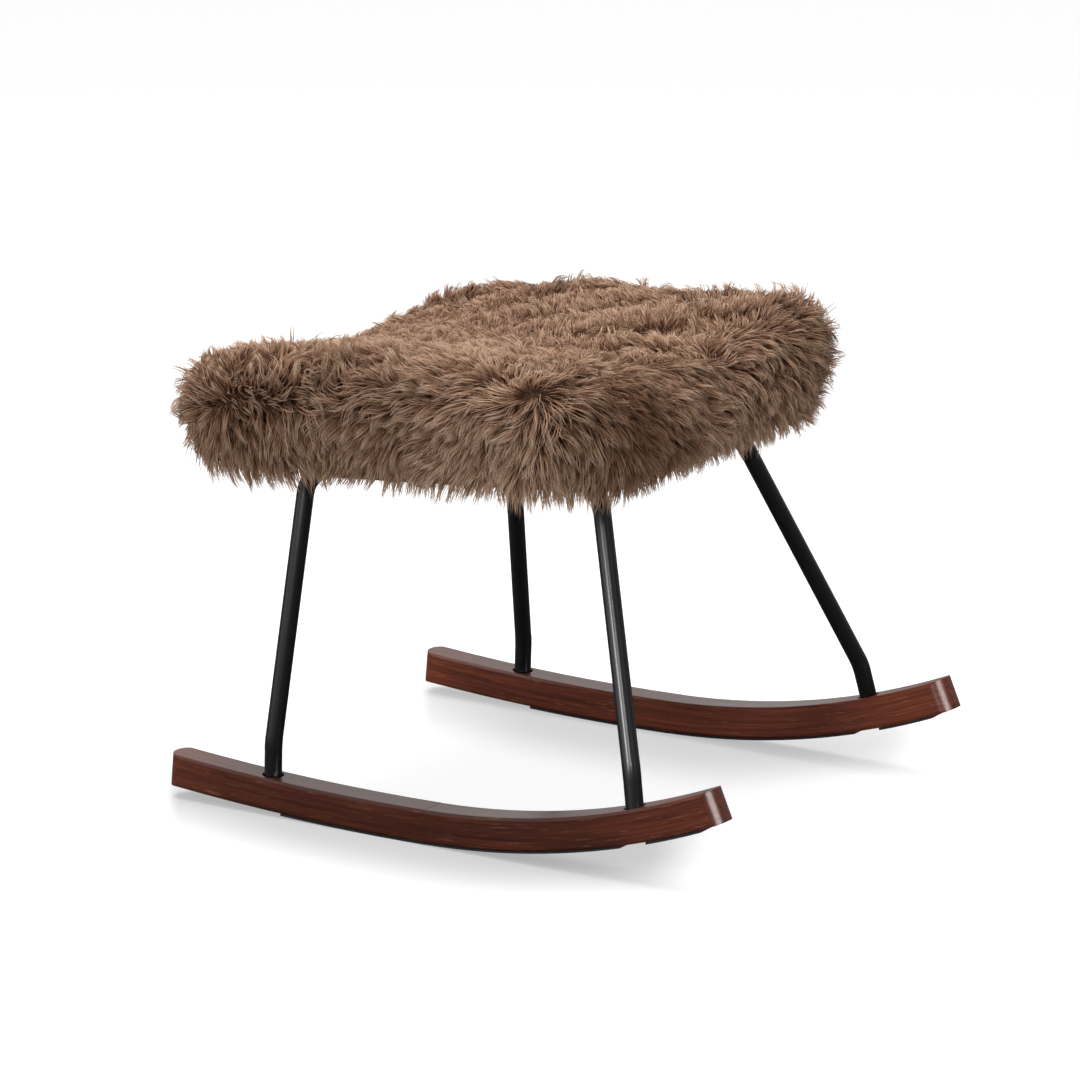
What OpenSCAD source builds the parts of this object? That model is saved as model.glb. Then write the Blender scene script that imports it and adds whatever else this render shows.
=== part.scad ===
// Rocking footstool: a fur covered seat pad on two bent tube leg frames, bolted to a pair of curved wooden rockers.
// Millimetres. X runs along the rockers to the upturned toe, Y across to the left rocker, Z up from the floor.

/* [Rockers] */
// Length of a rocker in plan, along its top face
rocker_length = 570; // [540:1:610]
// Height of the rocker's section
rocker_height = 30; // [28:0.5:36]
// Width of the rocker's section
rocker_width = 31; // [29:0.5:40]
// Spacing of the two rockers, centre to centre
rocker_spacing = 421; // [380:1:470]
// Radius of the underside from the heel to just past the lowest point
heel_radius = 2640; // [1800:10:3600]
// Radius of the underside up to the toe
toe_radius = 800; // [650:5:1100]
// Distance of the lowest point from the heel end
low_point = 225; // [200:1:255]
// Angle past the lowest point where the toe radius takes over
blend_angle = 1.2; // [0.6:0.1:2.4]
// Radius of the upright corners at both ends
end_corner = 14; // [6:0.5:14]
// Width of the bevel along the long edges
edge_ease = 2.2; // [1:0.1:4]
// Thickness of the felt under the rockers
felt_thickness = 2; // [1:0.1:4]
// Width of the felt under the rockers
felt_width = 28; // [20:0.5:29]

/* [Legs] */
// Outside diameter of the leg tube
tube_diameter = 16; // [14:0.5:18]
// Wall of the leg tube
tube_wall = 1.5; // [1.2:0.1:2]
// Distance of the back legs from the heel end, on the rocker's top face
back_leg_x = 107; // [92:1:125]
// Distance of the front legs from the heel end, on the rocker's top face
front_leg_x = 488; // [465:1:500]
// Diameter of the sockets in the rockers
socket_diameter = 20; // [19:0.5:22]
// Depth of the sockets
socket_depth = 15; // [12:0.5:16]
// Height of the straight foot above the rocker, up to the lower bend
foot_rise = 30; // [24:1:40]
// Bend radius at the foot
foot_bend = 60; // [40:1:80]
// Bend radius under the seat
top_bend = 26; // [24:1:34]
// Height of the side rails' centre line above the floor, at the middle of the seat
rail_height = 316; // [280:1:360]
// Run of the back leg toward the toe per unit of height
back_lean = 0.047; // [0:0.001:0.12]
// Run of the back leg toward the middle per unit of height
back_splay = 0.176; // [0.1:0.002:0.24]
// Run of the front leg toward the heel per unit of height
front_lean = 0.376; // [0.3:0.002:0.44]
// Run of the front leg toward the middle per unit of height
front_splay = 0.371; // [0.28:0.002:0.42]

/* [Seat] */
// Length of the covered seat
seat_length = 432; // [400:1:470]
// Width of the covered seat
seat_width = 422; // [390:1:440]
// Distance of the seat's middle from the heel end
seat_middle = 227; // [212:1:245]
// Rise of the seat toward the toe, in degrees
seat_tilt = 2; // [0:0.25:3]
// Height of the covered seat's middle above the side rails' centre line
seat_rise = 87; // [80:1:110]
// Rise of the long sides above the middle
side_rise = 41; // [10:1:46]
// Drop of the two ends below the middle
end_drop = 17; // [0:1:22]
// Roundness of the seat's top edge
crown_round = 50; // [30:1:54]
// Radius of the seat's corners in plan
seat_corner = 62; // [58:1:80]
// How far the sides draw in between the corners
side_draw = 3; // [0:0.5:5]
// Thickness of the cover with its dense under-fur
cover_thickness = 9; // [5:0.5:12]
// Thickness of the plywood board
board_thickness = 12; // [11:0.5:15]
// Width of the cover turned under the board
cover_hem = 38; // [30:1:45]
// Height of the main locks of the pile over the hollows between them
lock_height = 8; // [0:0.5:10]

/* [Hardware] */
// Nominal diameter of the bolts
bolt_diameter = 6; // [5:1:6]
// Thickness of the cross bars
bar_thickness = 4; // [3:0.5:5]
// Width of the cross bars
bar_width = 30; // [24:1:36]
// Height of the rubber spacers
spacer_height = 6; // [5:0.5:10]
// Diameter of the rubber spacers
spacer_diameter = 24; // [18:1:30]

/* [Hidden] */
fit = 0.1;
clearance = 0.3;
overrun = 2;
seat_in = 0.3;
seat_step = 0.1;
sweep_facets = 1440;
round_facets = 64;

// legs: run of each straight foot per unit of height, along X and toward the middle
back_foot = [0.03, 0];
front_foot = [-0.2, 0.15];

// bolts and what they go through
bolt_clear = bolt_diameter + 1;
washer_diameter = 12.5;
washer_thickness = 1.2;
head_diameter = 10;
head_height = 6;
key_size = 5;
key_depth = 3;
socket_floor = 6;
counterbore_diameter = 14;
bolt_grip = 12;
plug_length = 18;
thread_depth = 15;

// felt strips, either side of the front bolts
felt_back_gap = 18;
felt_front_gap = 13;
felt_toe_gap = 9;

// seat, in its own frame: origin on the rails' centre line below the seat's middle, Z square to the board
hem_thickness = 3;
hem_round = 10;
board_corner = 46;
board_gap = 2;
side_least = 2;
cloth_thickness = 1;
cloth_lap = 14;
back_bar_place = -58;
front_bar_place = 112;
bar_overhang = 9;
bar_corner = 3;
bolt_inset = 42;
weld_drop = 5;
weld_spread = 2.5;
weld_toe = 0.4;
tee_flange = 19;
tee_flange_thickness = 1.4;
tee_barrel = 8;
tee_barrel_length = 8.5;
rim_shares = [0.6, 0.4];
crown_steps = [0, 24, 46, 68, 90];
top_shares = [0.8, 0.55, 0.3];
corner_step = 18;
side_pieces = 5;

// rocker, seen from the side: two arcs that meet in line
heel_centre = [low_point, felt_thickness + heel_radius];
toe_centre = heel_centre + (heel_radius - toe_radius) * [sin(blend_angle), -cos(blend_angle)];
heel_top = heel_radius - rocker_height;
toe_top = toe_radius - rocker_height;
heel_angle = -asin(low_point / heel_top);
toe_angle = asin((rocker_length - toe_centre[0]) / toe_top);
half_spacing = rocker_spacing / 2;

// the origin stands on the floor in the middle of the whole, between the heel's and the toe's lower corners
middle_x = (heel_centre[0] + heel_radius * sin(heel_angle) + toe_centre[0] + toe_radius * sin(toe_angle)) / 2;

function unit(v) = v / norm(v);
function on_arc(x, centre, radius) = centre[1] - sqrt(pow(radius, 2) - pow(x - centre[0], 2));
function top_height(x) = x < heel_centre[0] + heel_top * sin(blend_angle)
    ? on_arc(x, heel_centre, heel_top)
    : on_arc(x, toe_centre, toe_top);

// leg frame: the line of the right one, from the back socket's floor to the front socket's
back_entry = [back_leg_x, -half_spacing, top_height(back_leg_x)];
front_entry = [front_leg_x, -half_spacing, top_height(front_leg_x)];
back_up = [back_foot[0], back_foot[1], 1];
front_up = [front_foot[0], front_foot[1], 1];
back_rise = [back_lean, back_splay, 1];
front_rise = [-front_lean, front_splay, 1];
function rail_point(start, rise) = start
    + rise * (rail_height - start[2] + (start[0] - seat_middle) * tan(seat_tilt)) / (1 - rise[0] * tan(seat_tilt));
back_low = back_entry + back_up * foot_rise;
front_low = front_entry + front_up * foot_rise;
back_high = rail_point(back_low, back_rise);
front_high = rail_point(front_low, front_rise);
frame_line = [
    back_entry - unit(back_up) * socket_depth,
    back_low,
    back_high,
    front_high,
    front_low,
    front_entry - unit(front_up) * socket_depth
];
frame_bends = [0, foot_bend, top_bend, top_bend, foot_bend, 0];

// heights in the seat's frame
tube_radius = tube_diameter / 2;
tube_bore = tube_diameter - 2 * tube_wall;
bar_low = tube_radius + fit;
bar_high = bar_low + bar_thickness;
board_low = bar_high + spacer_height;
board_high = board_low + board_thickness;
hem_low = board_low - hem_thickness;
side_low = hem_low + hem_round;
board_inset = cover_thickness + side_draw + board_gap;

function in_seat(p) = let (x = p[0] - seat_middle, z = p[2] - rail_height)
    [x * cos(seat_tilt) + z * sin(seat_tilt), p[1], z * cos(seat_tilt) - x * sin(seat_tilt)];
rail_back = in_seat(back_high);
rail_front = in_seat(front_high);
rail_turn = atan2(rail_front[1] - rail_back[1], rail_front[0] - rail_back[0]);
function rail_y(x) = -rail_back[1] + (rail_back[1] - rail_front[1]) * (x - rail_back[0]) / (rail_front[0] - rail_back[0]);
function bolt_y(x) = rail_y(x) - bolt_inset;
bar_places = [back_bar_place, front_bar_place];
seat_bolt_places = [for (x = bar_places, side = [-1, 1]) [x, side * bolt_y(x)]];

// pad: a ring of points round the seat at an inset, its crown, and rings lofted over the crown
function draw_in(t) = side_draw * sin(180 * t);
function pad_outline(inset) =
    let (a = seat_length / 2 - inset, b = seat_width / 2 - inset, r = seat_corner - inset)
    let (centres = [[a - r, b - r], [r - a, b - r], [r - a, r - b], [a - r, r - b]])
    [for (q = [0:3], k = [0:90 / corner_step + side_pieces - 1])
        let (t = (k - 90 / corner_step) / side_pieces, turn = 90 * q + min(k * corner_step, 90))
        let (from = centres[q] + r * [cos(90 * q + 90), sin(90 * q + 90)])
        let (to = centres[(q + 1) % 4] + r * [cos(90 * q + 90), sin(90 * q + 90)])
        t <= 0
            ? centres[q] + r * [cos(turn), sin(turn)]
            : from + (to - from) * t - draw_in(t) * [cos(turn), sin(turn)]];
function crown(p) =
    let (x = 2 * p[0] / seat_length, y = 2 * p[1] / seat_width)
    seat_rise - end_drop * x * x + side_rise * (rim_shares[0] * pow(y, 2) + rim_shares[1] * pow(y, 4));
function flat_ring(inset, height) = [for (p = pad_outline(inset)) [p[0], p[1], height]];
function crown_ring(inset, angle, low) = [for (p = pad_outline(inset + (crown_round - inset) * (1 - cos(angle))))
    let (top = crown(p) - inset, r = min(crown_round - inset, top - low - side_least))
    [p[0], p[1], top - r * (1 - sin(angle))]];
function top_ring(inset, share) = [for (p = share * pad_outline(crown_round)) [p[0], p[1], crown(p) - inset]];

// locks of the pile: every second point of a ring stands proud, and the rings above and below take the other points
function lock_ring(low, high, row) = [for (k = [0:len(low) - 1]) (k + row) % 2 == 0 ? low[k] : high[k]];
function crown_locks(i) =
    lock_ring(crown_ring(0, crown_steps[i], side_low), crown_ring(-lock_height, crown_steps[i], side_low), i);
function top_locks(i) = lock_ring(top_ring(0, top_shares[i]), top_ring(-lock_height, top_shares[i]), i + 1);

// skin: closes a row of rings into a solid, with a point at each end
module skin(rings, first, last) {
    n = len(rings[0]);
    m = len(rings);
    points = concat([for (ring = rings, p = ring) p], [first, last]);
    walls = [for (i = [0:m - 2], k = [0:n - 1], half = [0, 1])
        let (a = i * n + k, b = i * n + (k + 1) % n)
        half == 0 ? [a, a + n, b] : [b, a + n, b + n]];
    fans = [for (k = [0:n - 1], end = [0, 1])
        let (j = (k + 1) % n)
        end == 0 ? [m * n, k, j] : [m * n + 1, (m - 1) * n + j, (m - 1) * n + k]];
    polyhedron(points, concat(walls, fans));
}

module on_floor() {
    translate([-middle_x, 0, 0]) children();
}

module both_sides() {
    children();
    mirror([0, 1, 0]) children();
}

module left_side() {
    mirror([0, 1, 0]) children();
}

module seat_frame() {
    on_floor() translate([seat_middle, 0, rail_height]) rotate([0, -seat_tilt, 0]) children();
}

// turns Z to a direction
module aim(direction) {
    rotate([0, acos(direction[2] / norm(direction)), atan2(direction[1], direction[0])]) children();
}

// a round bar along a line with bends; a bend is a hair thicker, so each straight run seats inside it
module tube_path(line, bends, radius, reach) {
    last = len(line) - 1;
    way = [for (i = [0:last - 1]) unit(line[i + 1] - line[i])];
    turns = [for (i = [0:last]) i == 0 || i == last ? 0 : acos(way[i - 1] * way[i])];
    trims = [for (i = [0:last]) bends[i] * tan(turns[i] / 2) - seat_in];
    for (i = [0:last - 1]) {
        start = line[i] + way[i] * (i == 0 ? -reach : trims[i]);
        end = line[i + 1] - way[i] * (i == last - 1 ? -reach : trims[i + 1]);
        translate(start) aim(way[i]) cylinder(h = norm(end - start), r = radius, $fn = round_facets);
    }
    for (i = [1:last - 1]) {
        normal = unit(cross(way[i - 1], way[i]));
        outward = cross(way[i - 1], normal);
        centre = line[i] - way[i - 1] * (trims[i] + seat_in) - outward * bends[i];
        multmatrix([
            [outward[0], way[i - 1][0], normal[0], centre[0]],
            [outward[1], way[i - 1][1], normal[1], centre[1]],
            [outward[2], way[i - 1][2], normal[2], centre[2]],
            [0, 0, 0, 1]
        ])
            rotate_extrude(angle = turns[i], $fn = 4 * round_facets)
                translate([bends[i], 0]) circle(r = radius + seat_step, $fn = round_facets);
    }
}

module leg_frame() {
    on_floor() difference() {
        tube_path(frame_line, frame_bends, tube_radius, 0);
        tube_path(frame_line, frame_bends, tube_bore / 2, overrun);
    }
}

// places what is drawn along Z on both foot lines of the right side, with the socket's floor at zero
module at_feet() {
    on_floor() {
        translate(frame_line[0]) aim(back_up) children();
        translate(frame_line[5]) aim(front_up) children();
    }
}

module leg_plug() {
    difference() {
        cylinder(h = plug_length, d = tube_bore - 2 * fit, $fn = round_facets);
        translate([0, 0, -overrun])
            cylinder(h = thread_depth + overrun, d = bolt_diameter + 2 * fit, $fn = round_facets);
    }
}

module washer() {
    difference() {
        cylinder(h = washer_thickness, d = washer_diameter, $fn = round_facets);
        translate([0, 0, -overrun])
            cylinder(h = washer_thickness + 2 * overrun, d = bolt_clear, $fn = round_facets);
    }
}

// a bolt with its head's bearing face at zero and its shank along Z
module socket_bolt(shank) {
    difference() {
        union() {
            translate([0, 0, -head_height]) cylinder(h = head_height, d = head_diameter, $fn = round_facets);
            cylinder(h = shank, d = bolt_diameter, $fn = round_facets);
        }
        translate([0, 0, -head_height - overrun])
            cylinder(h = key_depth + overrun, d = key_size / cos(30), $fn = 6);
    }
}

// a bar bent along an arc in the rocker's side view, between two angles from straight down
module arc_bar(centre, inner, outer, from, to, width, ease) {
    translate([centre[0], 0, centre[1]]) rotate([90, 0, 0]) rotate([0, 0, from - 90])
        rotate_extrude(angle = to - from, $fn = sweep_facets)
            translate([inner, -width / 2]) eased_section(outer - inner, width, ease);
}

// the toe's bar starts a little before the blend and is a hair thinner, so it seats inside the heel's
module toe_bar(inner, outer, to, width, ease) {
    lead = blend_angle - atan(seat_in / outer);
    arc_bar(toe_centre, inner + seat_step, outer - seat_step, lead, to, width - 2 * seat_step, ease);
}

module eased_section(height, width, ease) {
    if (ease == 0) square([height, width]);
    else polygon([
        [ease, 0],
        [height - ease, 0],
        [height, ease],
        [height, width - ease],
        [height - ease, width],
        [ease, width],
        [0, width - ease],
        [0, ease]
    ]);
}

module rocker_blank() {
    arc_bar(heel_centre, heel_top, heel_radius, heel_angle, blend_angle, rocker_width, edge_ease);
    toe_bar(toe_top, toe_radius, toe_angle, rocker_width, edge_ease);
}

// what is cut from one upright corner: a square post less its round, a hair larger so that it crosses the faces
module corner_post() {
    height = rocker_height + 2 * overrun;
    difference() {
        cube([height, end_corner + overrun, end_corner + overrun]);
        translate([-overrun, 0, 0]) rotate([0, 90, 0])
            cylinder(h = height + 2 * overrun, r = end_corner + seat_step, $fn = round_facets);
    }
}

// both upright corners at an end of the rocker, in line with the arc there; the heel's are the toe's mirrored
module end_corners(centre, inner, angle, heel) {
    translate([centre[0], 0, centre[1]]) rotate([90, 0, 0]) rotate([0, 0, angle - 90]) mirror([0, heel, 0])
        for (side = [0, 1])
            mirror([0, 0, side])
                translate([inner - overrun, -end_corner, rocker_width / 2 - end_corner]) corner_post();
}

module foot_bores() {
    cylinder(h = socket_depth + overrun, d = socket_diameter, $fn = round_facets);
    translate([0, 0, -socket_floor - overrun])
        cylinder(h = socket_floor + 2 * overrun, d = bolt_clear, $fn = round_facets);
    translate([0, 0, -rocker_height])
        cylinder(h = rocker_height - socket_floor, d = counterbore_diameter, $fn = round_facets);
}

module rocker() {
    difference() {
        on_floor() translate([0, -half_spacing, 0]) difference() {
            rocker_blank();
            end_corners(heel_centre, heel_top, heel_angle, 1);
            end_corners(toe_centre, toe_top, toe_angle, 0);
        }
        at_feet() foot_bores();
    }
}

module rocker_right() { color([0.36, 0.19, 0.12]) rocker(); }
module rocker_left() { color([0.36, 0.19, 0.12]) left_side() rocker(); }

// where the bolt's line leaves the underside, along X
function bolt_foot(entry, up) = entry[0] - up[0] * rocker_height;
function under_angle(x) = x < heel_centre[0] + heel_radius * sin(blend_angle)
    ? asin((x - heel_centre[0]) / heel_radius)
    : asin((x - toe_centre[0]) / toe_radius);

module felt() {
    back = under_angle(bolt_foot(back_entry, back_up) + felt_back_gap);
    front = under_angle(bolt_foot(front_entry, front_up) - felt_front_gap);
    front_on = under_angle(bolt_foot(front_entry, front_up) + felt_front_gap);
    end = under_angle(rocker_length - felt_toe_gap);
    on_floor() translate([0, -half_spacing, 0]) {
        arc_bar(heel_centre, heel_radius, heel_radius + felt_thickness, back, blend_angle, felt_width, 0);
        toe_bar(toe_radius, toe_radius + felt_thickness, front, felt_width, 0);
        arc_bar(toe_centre, toe_radius, toe_radius + felt_thickness, front_on, end, felt_width, 0);
    }
}

module floor_felt_right() { color([0.2, 0.22, 0.26]) felt(); }
module floor_felt_left() { color([0.2, 0.22, 0.26]) left_side() felt(); }

module leg_frame_right() { color([0.08, 0.08, 0.09]) leg_frame(); }
module leg_frame_left() { color([0.08, 0.08, 0.09]) left_side() leg_frame(); }

module leg_plugs() {
    color([0.6, 0.6, 0.6]) both_sides() at_feet() leg_plug();
}

module rocker_washers() {
    color([0.75, 0.75, 0.75]) both_sides() at_feet() translate([0, 0, -socket_floor - washer_thickness]) washer();
}

module rocker_bolts() {
    color([0.7, 0.7, 0.7]) both_sides() at_feet()
        translate([0, 0, -socket_floor - washer_thickness])
            socket_bolt(socket_floor + washer_thickness + bolt_grip);
}

// cross bar: a flat bar over both rails, with the weld that runs beside each rail below it
module bar_blank(length) {
    linear_extrude(bar_thickness) {
        square([bar_width - 2 * bar_corner, length], center = true);
        square([bar_width, length - 2 * bar_corner], center = true);
        for (x = [-1, 1], y = [-1, 1])
            translate([x * (bar_width / 2 - bar_corner), y * (length / 2 - bar_corner)])
                circle(r = bar_corner, $fn = round_facets);
    }
}

module weld_section() {
    low = sqrt(pow(bar_low, 2) - pow(bar_low - weld_drop, 2)) + weld_toe;
    difference() {
        polygon([
            [-low - weld_spread, bar_low + fit],
            [-low, bar_low - weld_drop],
            [low, bar_low - weld_drop],
            [low + weld_spread, bar_low + fit]
        ]);
        circle(r = bar_low, $fn = round_facets);
    }
}

module cross_bar(x) {
    seat_frame() difference() {
        union() {
            translate([x, 0, bar_low]) bar_blank(2 * (rail_y(x) + bar_overhang));
            for (side = [0, 1])
                mirror([0, side, 0])
                    translate([x, -rail_y(x), 0]) rotate([0, 0, rail_turn]) rotate([90, 0, 90])
                        translate([0, 0, -bar_width / 2 + bar_corner])
                            linear_extrude(bar_width - 2 * bar_corner) weld_section();
        }
        for (side = [-1, 1])
            translate([x, side * bolt_y(x), bar_low - overrun])
                cylinder(h = bar_thickness + 2 * overrun, d = bolt_clear, $fn = round_facets);
    }
}

module cross_bar_back() { color([0.1, 0.1, 0.11]) cross_bar(back_bar_place); }
module cross_bar_front() { color([0.1, 0.1, 0.11]) cross_bar(front_bar_place); }

module at_seat_bolts(height) {
    seat_frame() for (p = seat_bolt_places) translate([p[0], p[1], height]) children();
}

module seat_spacers() {
    color([0.05, 0.05, 0.05]) at_seat_bolts(bar_high) difference() {
        cylinder(h = spacer_height, d = spacer_diameter, $fn = round_facets);
        translate([0, 0, -overrun]) cylinder(h = spacer_height + 2 * overrun, d = bolt_clear, $fn = round_facets);
    }
}

module seat_washers() {
    color([0.75, 0.75, 0.75]) at_seat_bolts(bar_low - washer_thickness) washer();
}

module seat_bolts() {
    color([0.7, 0.7, 0.7]) at_seat_bolts(bar_low - washer_thickness)
        socket_bolt(washer_thickness + bar_thickness + spacer_height + board_thickness - tee_flange_thickness);
}

module tee_nuts() {
    color([0.7, 0.68, 0.6]) at_seat_bolts(board_high - tee_flange_thickness) difference() {
        union() {
            cylinder(h = tee_flange_thickness, d = tee_flange, $fn = round_facets);
            translate([0, 0, tee_flange_thickness - tee_barrel_length])
                cylinder(h = tee_barrel_length, d = tee_barrel, $fn = round_facets);
        }
        translate([0, 0, -tee_barrel_length - overrun])
            cylinder(h = tee_barrel_length + 2 * overrun, d = bolt_diameter + 2 * fit, $fn = round_facets);
    }
}

module rounded_plate(length, width, corner, thickness) {
    linear_extrude(thickness) {
        square([length - 2 * corner, width], center = true);
        square([length, width - 2 * corner], center = true);
        for (x = [-1, 1], y = [-1, 1])
            translate([x * (length / 2 - corner), y * (width / 2 - corner)]) circle(r = corner, $fn = round_facets);
    }
}

module seat_board() {
    color([0.78, 0.66, 0.48]) difference() {
        seat_frame() translate([0, 0, board_low])
            rounded_plate(seat_length - 2 * board_inset, seat_width - 2 * board_inset, board_corner, board_thickness);
        at_seat_bolts(board_low - overrun)
            cylinder(h = board_thickness + 2 * overrun, d = tee_barrel + 2 * fit, $fn = round_facets);
        at_seat_bolts(board_high - tee_flange_thickness)
            cylinder(h = tee_flange_thickness + overrun, d = tee_flange + 2 * fit, $fn = round_facets);
    }
}

module seat_foam() {
    inset = cover_thickness + clearance;
    color([0.9, 0.86, 0.7]) seat_frame() skin(
        concat(
            [flat_ring(inset, board_high)],
            [for (angle = crown_steps) crown_ring(inset, angle, board_high)],
            [for (share = top_shares) top_ring(inset, share)]
        ),
        [0, 0, board_high],
        [0, 0, crown([0, 0]) - inset]
    );
}

module fur_cover() {
    inset = cover_thickness;
    outer = concat(
        [for (i = [len(top_shares) - 1:-1:0]) top_locks(i)],
        [for (i = [len(crown_steps) - 1:-1:0]) crown_locks(i)],
        [flat_ring(0, side_low), flat_ring(hem_round * (1 - cos(45)), side_low - hem_round * sin(45))],
        [flat_ring(hem_round, hem_low), flat_ring(cover_hem, hem_low)]
    );
    inner = concat(
        [flat_ring(cover_hem, board_low - fit), flat_ring(inset, board_low - fit)],
        [for (angle = crown_steps) crown_ring(inset, angle, board_high)],
        [for (share = top_shares) top_ring(inset, share)]
    );
    color([0.5, 0.4, 0.33]) seat_frame() skin(
        concat(outer, inner),
        [0, 0, crown([0, 0])],
        [0, 0, crown([0, 0]) - inset]
    );
}

module dust_cloth() {
    lap = 2 * (cover_hem - cloth_lap);
    color([0.12, 0.12, 0.12]) difference() {
        seat_frame() translate([0, 0, hem_low - cloth_thickness])
            rounded_plate(seat_length - lap, seat_width - lap, board_corner, cloth_thickness);
        at_seat_bolts(hem_low - cloth_thickness - overrun)
            cylinder(h = cloth_thickness + 2 * overrun, d = spacer_diameter + 2 * clearance, $fn = round_facets);
    }
}

rocker_right();
rocker_left();
floor_felt_right();
floor_felt_left();
leg_frame_right();
leg_frame_left();
leg_plugs();
rocker_bolts();
rocker_washers();
cross_bar_front();
cross_bar_back();
seat_spacers();
seat_bolts();
seat_washers();
tee_nuts();
seat_board();
seat_foam();
fur_cover();
dust_cloth();
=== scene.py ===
# Rocking footstool: a long-pile fur pad on black tube legs and stained rockers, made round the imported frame
import math

import bpy
import numpy as np
from mathutils import Euler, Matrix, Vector
from mathutils.bvhtree import BVHTree
from mathutils.kdtree import KDTree


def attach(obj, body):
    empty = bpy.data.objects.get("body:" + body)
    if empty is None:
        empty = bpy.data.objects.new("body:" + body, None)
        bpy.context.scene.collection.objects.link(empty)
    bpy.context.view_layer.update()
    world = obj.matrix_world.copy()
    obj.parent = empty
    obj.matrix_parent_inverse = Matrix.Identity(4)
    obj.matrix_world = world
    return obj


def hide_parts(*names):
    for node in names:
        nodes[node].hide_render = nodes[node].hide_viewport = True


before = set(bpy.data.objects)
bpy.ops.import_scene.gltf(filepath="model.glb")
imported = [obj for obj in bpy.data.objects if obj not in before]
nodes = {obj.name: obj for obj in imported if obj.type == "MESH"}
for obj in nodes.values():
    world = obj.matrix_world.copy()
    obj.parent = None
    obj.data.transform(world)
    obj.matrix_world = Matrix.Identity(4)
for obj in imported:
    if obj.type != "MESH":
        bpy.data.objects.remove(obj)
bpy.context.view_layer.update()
print("frame loaded:", len(nodes), "nodes")

# camera: solved on the rocker edges and the leg tubes of the photograph
cameraSetup = {
    "place": (2.3184, -3.7353, 1.3132),
    "turn": (76.192, 0.0, 32.163),  # degrees
    "lens": 165.97,
    "sensor": 36.0,
    "farthest": 100.0,
    "photoSide": 1080,  # pixels
}


def makeCamera():
    data = bpy.data.cameras.new("camera")
    data.lens = cameraSetup["lens"]
    data.sensor_width = cameraSetup["sensor"]
    data.clip_end = cameraSetup["farthest"]
    camera = bpy.data.objects.new("camera", data)
    camera.location = cameraSetup["place"]
    camera.rotation_euler = [math.radians(angle) for angle in cameraSetup["turn"]]
    bpy.context.scene.collection.objects.link(camera)
    bpy.context.scene.camera = camera


def pixelRay(x, y):
    # the direction in which the camera sees a pixel of the photograph
    middle = cameraSetup["photoSide"] / 2
    reach = cameraSetup["sensor"] / 2 / cameraSetup["lens"] / middle
    turn = Euler([math.radians(angle) for angle in cameraSetup["turn"]]).to_matrix()
    return (turn @ Vector(((x - middle) * reach, (middle - y) * reach, -1))).normalized()


makeCamera()


# helpers: materials and operators
def newMaterial(name, roughness, specular=0.5):
    material = bpy.data.materials.new(name)
    material.use_nodes = True
    shader = material.node_tree.nodes["Principled BSDF"]
    shader.inputs["Roughness"].default_value = roughness
    shader.inputs["Specular IOR Level"].default_value = specular
    return material, material.node_tree, shader


def addNode(tree, kind, inputs=None, **settings):
    node = tree.nodes.new(kind)
    for key, value in settings.items():
        setattr(node, key, value)
    for key, value in (inputs or {}).items():
        if isinstance(value, bpy.types.NodeSocket):
            tree.links.new(value, node.inputs[key])
        else:
            node.inputs[key].default_value = value
    return node


def objectCoordinates(tree, scale=(1, 1, 1)):
    place = addNode(tree, "ShaderNodeTexCoord").outputs["Object"]
    return stretched(tree, place, scale)


def stretched(tree, place, scale):
    return addNode(tree, "ShaderNodeMapping", {"Vector": place, "Scale": scale}).outputs[0]


def splitAxes(tree, place):
    return addNode(tree, "ShaderNodeSeparateXYZ", {"Vector": place}).outputs


def addMath(tree, operation, *values):
    return addNode(tree, "ShaderNodeMath", dict(enumerate(values)), operation=operation).outputs[0]


def mixNumbers(tree, factor, first, second):
    return addNode(tree, "ShaderNodeMix", {0: factor, 2: first, 3: second}, data_type="FLOAT").outputs[0]


def mapRange(tree, value, low, high, first=0.0, second=1.0):
    inputs = {"Value": value, "From Min": low, "From Max": high, "To Min": first, "To Max": second}
    return addNode(tree, "ShaderNodeMapRange", inputs, interpolation_type="SMOOTHSTEP").outputs["Result"]


def addNoise(tree, vector, scale, detail, roughness=0.55):
    inputs = {"Vector": vector, "Scale": scale, "Detail": detail, "Roughness": roughness}
    return addNode(tree, "ShaderNodeTexNoise", inputs).outputs["Fac"]


def addRamp(tree, factor, stops):
    stops = list(stops)
    ramp = addNode(tree, "ShaderNodeValToRGB", {"Fac": factor})
    elements = ramp.color_ramp.elements
    while len(elements) < len(stops):
        elements.new(0.5)
    for element, (place, colour) in zip(elements, stops):
        element.position = place
        element.color = (*colour, 1)
    return ramp.outputs["Color"]


def opaque(colour):
    return colour if isinstance(colour, bpy.types.NodeSocket) else (*colour, 1)


def mixColours(tree, factor, first, second, blend="MIX"):
    # by number, because the sockets of a mix share their names: factor, two colours and the result
    inputs = {0: factor, 6: opaque(first), 7: opaque(second)}
    return addNode(tree, "ShaderNodeMix", inputs, data_type="RGBA", blend_type=blend).outputs[2]


def addBump(tree, shader, height, strength, distance, softEdge=0.0, samples=6):
    inputs = {"Height": height, "Strength": strength, "Distance": distance}
    if softEdge:
        inputs["Normal"] = addNode(tree, "ShaderNodeBevel", {"Radius": softEdge}, samples=samples).outputs[0]
    bump = addNode(tree, "ShaderNodeBump", inputs)
    tree.links.new(bump.outputs["Normal"], shader.inputs["Normal"])


def colourFrom(tree, shader, colour):
    tree.links.new(colour, shader.inputs["Base Color"])


def srgb(*levels):
    # a colour as read from the photograph, 0 to 255, to the linear values that a shader takes
    return tuple((c / 255 / 12.92) if c < 11 else ((c / 255 + 0.055) / 1.055) ** 2.4 for c in levels)


def selectOnly(piece):
    bpy.ops.object.select_all(action="DESELECT")
    piece.select_set(True)
    bpy.context.view_layer.objects.active = piece


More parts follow.
